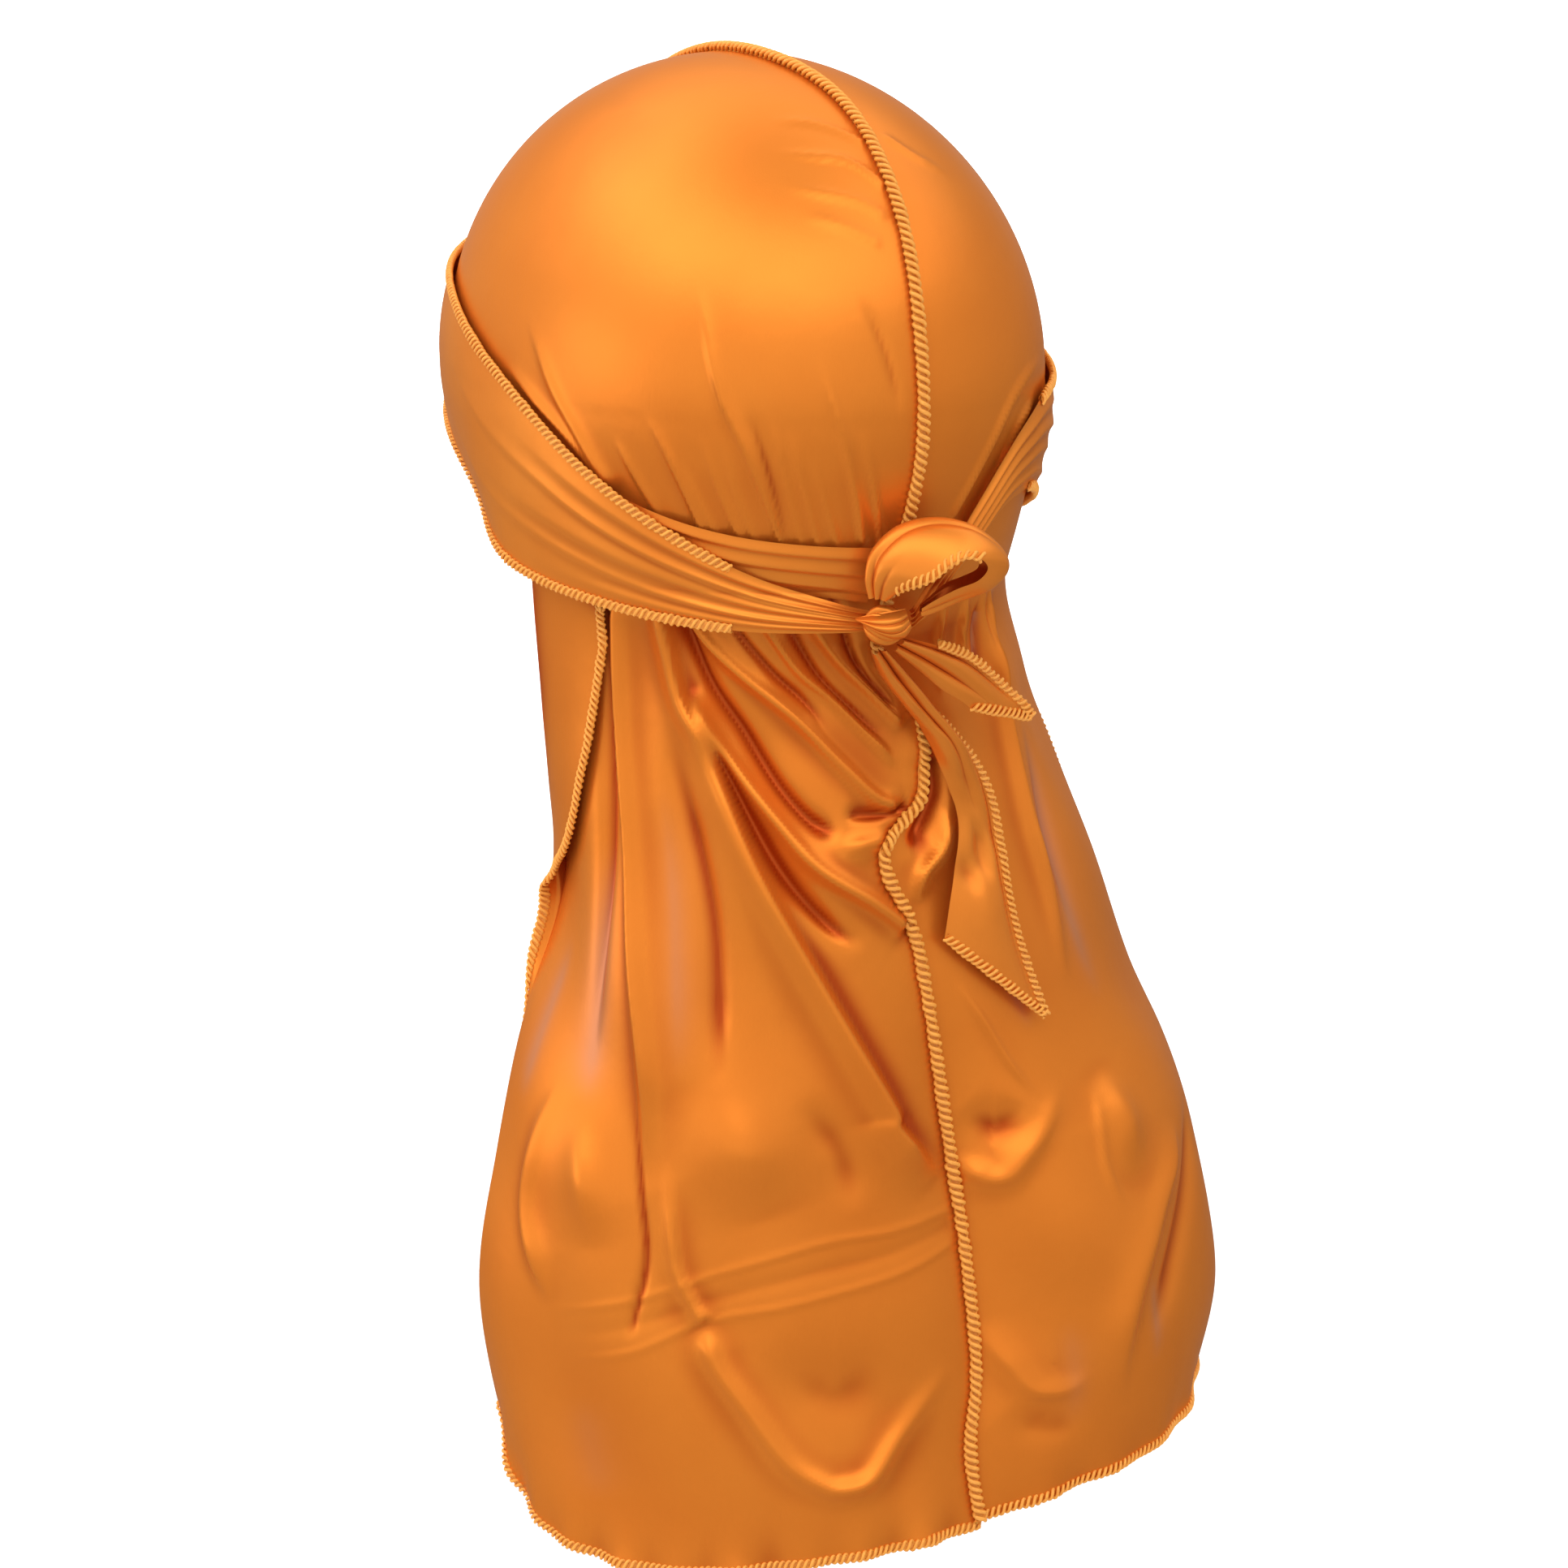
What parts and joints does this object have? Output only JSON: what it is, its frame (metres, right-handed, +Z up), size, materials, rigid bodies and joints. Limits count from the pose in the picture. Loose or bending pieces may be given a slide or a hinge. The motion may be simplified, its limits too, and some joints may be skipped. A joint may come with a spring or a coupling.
{
  "type": "durag",
  "caption": "Satin durag in its worn form: two-panel crown and long tail with an overlocked centre seam, ties wrapped round the head and knotted at the nape.",
  "frame": {"origin": "inner top of the crown, where the head carries the cloth", "axes": "+Z up along the length of the worn piece, the wearer faces -Y, +X is the wearer's left"},
  "size_m": [0.2183, 0.2244, 0.4106],
  "materials": {
    "satin_panel": "orange polyester satin, thin and glossy",
    "satin_tie": "orange polyester satin, glossy",
    "overlock_thread": "orange polyester overlock thread, dull"
  },
  "bodies": {
    "root": {"left_panel": "satin_panel", "right_panel": "satin_panel", "centre_seam": "overlock_thread", "inner_wrap": "satin_tie", "left_wrap": "satin_tie", "right_wrap": "satin_tie", "knot": "satin_tie", "bow_loop": "satin_tie", "long_tie_end": "satin_tie", "short_tie_end": "satin_tie"}
  },
  "joints": []
}
